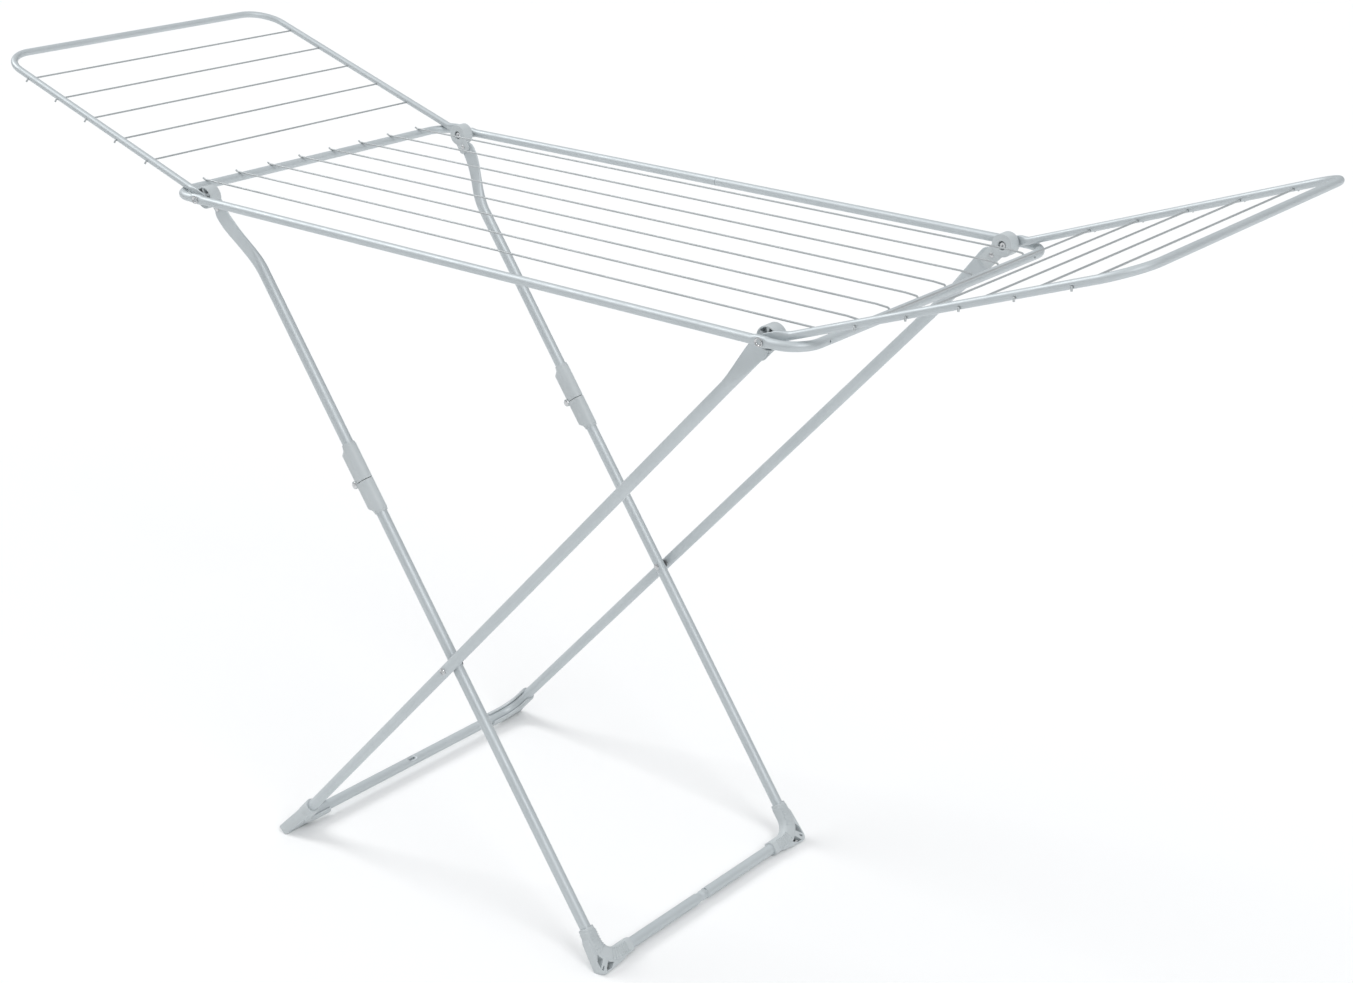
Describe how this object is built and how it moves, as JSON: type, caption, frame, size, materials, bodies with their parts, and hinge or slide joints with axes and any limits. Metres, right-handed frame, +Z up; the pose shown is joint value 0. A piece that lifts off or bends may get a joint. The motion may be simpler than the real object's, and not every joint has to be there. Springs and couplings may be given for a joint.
{
  "type": "clothes drying rack",
  "caption": "Folding clothes drying rack: a rectangular deck of parallel wires on crossed tube legs, with a hinged wire wing tilted up at each end.",
  "frame": {"origin": "On the floor, under the middle of the open rack.", "axes": "+X along the deck, from the wing with the gentler tilt to the one with the steeper tilt. +Y across the deck. +Z up."},
  "size_m": [1.8935, 0.5466, 1.1499],
  "materials": {
    "coated_tube": "satin light grey powder coat on steel tube",
    "coated_wire": "satin grey coat on steel wire",
    "plastic": "moulded light grey, fine matt grain",
    "rivet": "zinc-plated steel"
  },
  "bodies": {
    "deck": {"deck_frame": "coated_tube", "deck_wire_1": "coated_wire", "deck_wire_2": "coated_wire", "deck_wire_3": "coated_wire", "deck_wire_4": "coated_wire", "deck_wire_5": "coated_wire", "deck_wire_6": "coated_wire", "deck_wire_7": "coated_wire", "deck_wire_8": "coated_wire", "hinge_rivet_left_far": "rivet", "hinge_rivet_left_near": "rivet", "hinge_rivet_right_far": "rivet", "hinge_rivet_right_near": "rivet"},
    "left_wing": {"left_wing_frame": "coated_tube", "left_wing_wire_1": "coated_wire", "left_wing_wire_2": "coated_wire", "left_wing_wire_3": "coated_wire", "left_wing_wire_4": "coated_wire", "left_wing_wire_5": "coated_wire"},
    "right_wing": {"right_wing_frame": "coated_tube", "right_wing_wire_1": "coated_wire", "right_wing_wire_2": "coated_wire", "right_wing_wire_3": "coated_wire", "right_wing_wire_4": "coated_wire", "right_wing_wire_5": "coated_wire"},
    "outer_legs": {"cross_bush_far": "plastic", "cross_bush_near": "plastic", "cross_rivet_outer_far": "rivet", "cross_rivet_outer_near": "rivet", "outer_bar_joiner": "coated_tube", "outer_foot_far": "plastic", "outer_foot_near": "plastic", "outer_hinge_shell_far": "plastic", "outer_hinge_shell_near": "plastic", "outer_leg_far": "coated_tube", "outer_leg_near": "coated_tube", "outer_leg_rivet_far": "rivet", "outer_leg_rivet_near": "rivet"},
    "inner_upper_legs": {"inner_hinge_shell_far": "plastic", "inner_hinge_shell_near": "plastic", "inner_leg_rivet_far": "rivet", "inner_leg_rivet_near": "rivet", "inner_upper_leg_far": "coated_tube", "inner_upper_leg_near": "coated_tube", "upper_sleeve_far": "plastic", "upper_sleeve_near": "plastic"},
    "inner_lower_legs": {"cross_rivet_inner_far": "rivet", "cross_rivet_inner_near": "rivet", "inner_bar_joiner": "coated_tube", "inner_foot_far": "plastic", "inner_foot_near": "plastic", "inner_lower_leg_far": "coated_tube", "inner_lower_leg_near": "coated_tube", "knuckle_rivet_far": "rivet", "knuckle_rivet_near": "rivet", "lower_sleeve_far": "plastic", "lower_sleeve_near": "plastic"}
  },
  "joints": [
    {"name": "left_wing_hinge", "type": "hinge", "parent": "deck", "child": "left_wing", "pos_m": [-0.48617, 0, 0.984], "axis": [0, 1, 0], "range_deg": [0, 160]},
    {"name": "right_wing_hinge", "type": "hinge", "parent": "deck", "child": "right_wing", "pos_m": [0.49383, 0, 0.984], "axis": [0, -1, 0], "range_deg": [0, 157]},
    {"name": "outer_leg_fold", "type": "hinge", "parent": "deck", "child": "outer_legs", "pos_m": [0.49383, 0, 0.984], "axis": [0, 1, 0], "range_deg": [0, 43.8]},
    {"name": "inner_leg_fold", "type": "hinge", "parent": "deck", "child": "inner_upper_legs", "pos_m": [-0.48617, 0, 0.984], "axis": [0, -1, 0], "range_deg": [0, 54.42]},
    {"name": "knuckle_fold", "type": "hinge", "parent": "inner_upper_legs", "child": "inner_lower_legs", "pos_m": [-0.24243, 0, 0.60871], "axis": [0, 1, 0], "range_deg": [0, 175.25]}
  ],
  "couplings": [
    {"joint": "inner_leg_fold", "follows": "outer_leg_fold", "ratio": 1.2423},
    {"joint": "knuckle_fold", "follows": "outer_leg_fold", "ratio": 4.0009}
  ]
}
